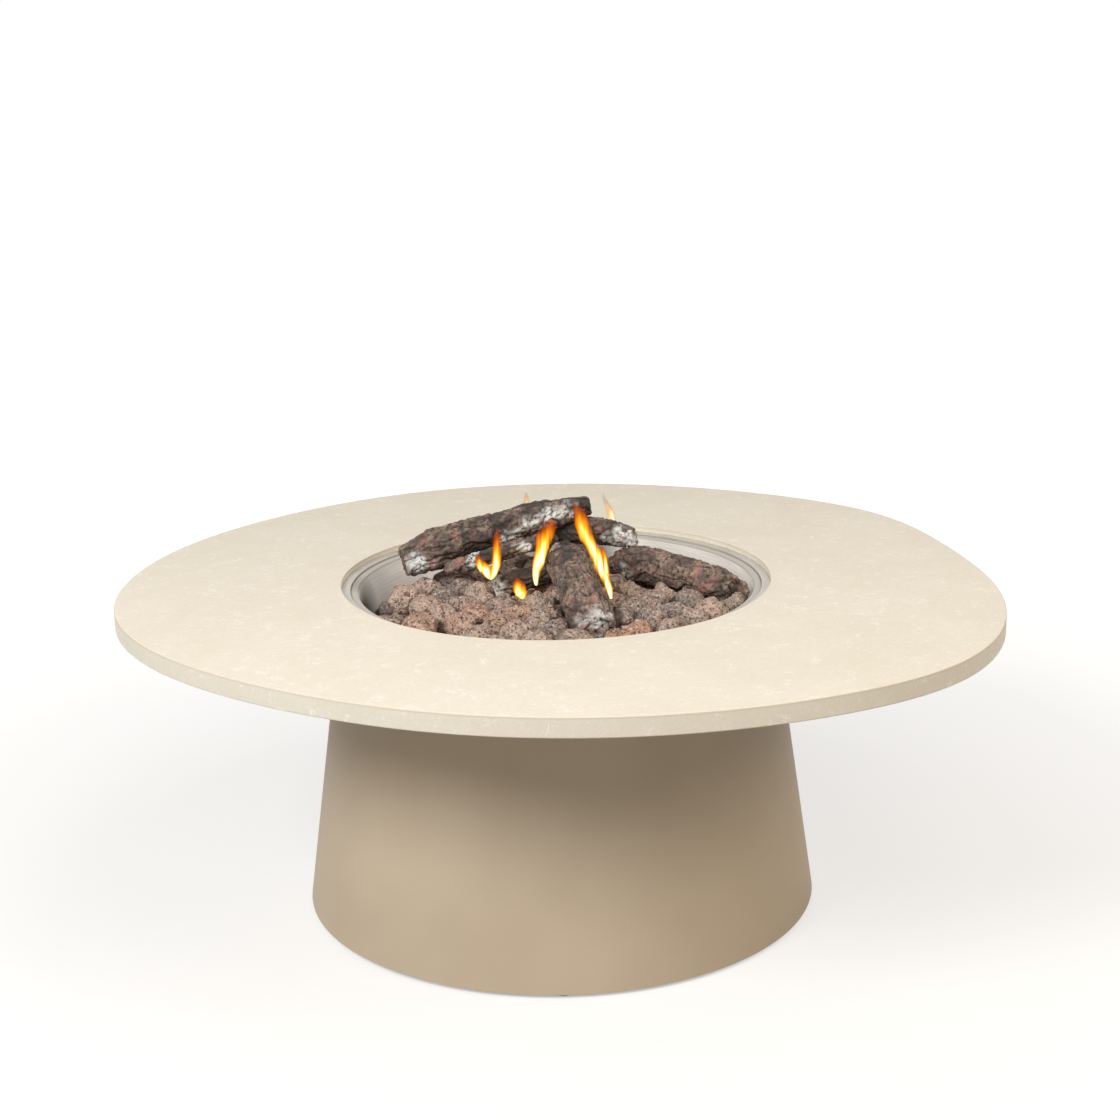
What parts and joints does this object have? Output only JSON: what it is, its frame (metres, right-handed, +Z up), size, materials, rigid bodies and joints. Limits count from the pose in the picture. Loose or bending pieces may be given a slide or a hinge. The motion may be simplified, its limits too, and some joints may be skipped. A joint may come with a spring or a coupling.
{
  "type": "gas fire pit table",
  "caption": "Low round gas fire pit table: pebble-shaped stone top on a flared metal base, with a drop-in burner bowl, lava rocks and ceramic logs.",
  "frame": {"origin": "on the floor under the axis of the base and burner, at the middle of the table", "axes": "+Z up, +X along the table's longest way across, -Y the pictured front, +Y the rear with the gas controls"},
  "size_m": [1.1634, 1.1243, 0.5383],
  "materials": {
    "stone_top": "satin",
    "taupe_powder_coat": "matte",
    "stainless_sheet": "satin",
    "stainless_burner": "satin",
    "zinc_steel": "satin",
    "brass": "satin",
    "copper_pipe": "satin",
    "porcelain": "gloss",
    "lead_sheath": "matte",
    "black_nylon": "matte",
    "silicone": "matte",
    "lava_rock": "matte",
    "ceramic_log": "matte"
  },
  "bodies": {
    "table": {"table_top": "stone_top", "base_shell": "taupe_powder_coat", "base_head_ring": "taupe_powder_coat", "base_foot_ring": "taupe_powder_coat", "control_box": "taupe_powder_coat", "trim_ring": "stainless_sheet", "fire_bowl": "stainless_sheet", "rock_tray": "stainless_sheet", "control_fascia": "stainless_sheet", "tray_legs": "stainless_sheet", "burner_ring": "stainless_burner", "burner_stands": "stainless_burner", "venturi_tube": "stainless_burner", "pilot_bracket": "stainless_burner", "thermocouple": "stainless_burner", "electrode_rod": "stainless_burner", "heat_shield": "zinc_steel", "shield_spacers": "zinc_steel", "shield_screws": "zinc_steel", "fascia_screws": "zinc_steel", "foot_screws": "zinc_steel", "burner_locknut": "zinc_steel", "valve_nut": "zinc_steel", "igniter_nut": "zinc_steel", "gas_injector": "brass", "gas_valve": "brass", "inlet_fitting": "brass", "inlet_nut": "brass", "pipe_nuts": "brass", "supply_pipe": "copper_pipe", "inlet_pipe": "copper_pipe", "electrode_insulator": "porcelain", "ignition_lead": "lead_sheath", "thermocouple_lead": "lead_sheath", "glide_feet": "black_nylon", "igniter_body": "black_nylon", "slab_pads": "silicone", "lava_rocks": "lava_rock", "log_right": "ceramic_log", "log_small": "ceramic_log", "log_front": "ceramic_log", "log_cross": "ceramic_log", "log_under": "ceramic_log", "log_top": "ceramic_log"},
    "push_bush": {"spindle_bush": "black_nylon"},
    "knob": {"control_knob": "black_nylon", "valve_spindle": "zinc_steel"},
    "igniter": {"igniter_button": "black_nylon"}
  },
  "joints": [
    {"name": "knob_push", "type": "slide", "parent": "table", "child": "push_bush", "axis": [0, -0.9899, -0.1421], "range_m": [0, 0.004], "stiffness_N_per_m": 800, "springref_m": -0.002},
    {"name": "knob_turn", "type": "hinge", "parent": "push_bush", "child": "knob", "pos_m": [0.0365, 0.28371, 0.2556], "axis": [0, 0.9899, 0.1421], "range_deg": [-90, 90]},
    {"name": "igniter_press", "type": "slide", "parent": "table", "child": "igniter", "axis": [0, -0.9899, -0.1421], "range_m": [0, 0.006], "stiffness_N_per_m": 1500, "springref_m": -0.002}
  ]
}
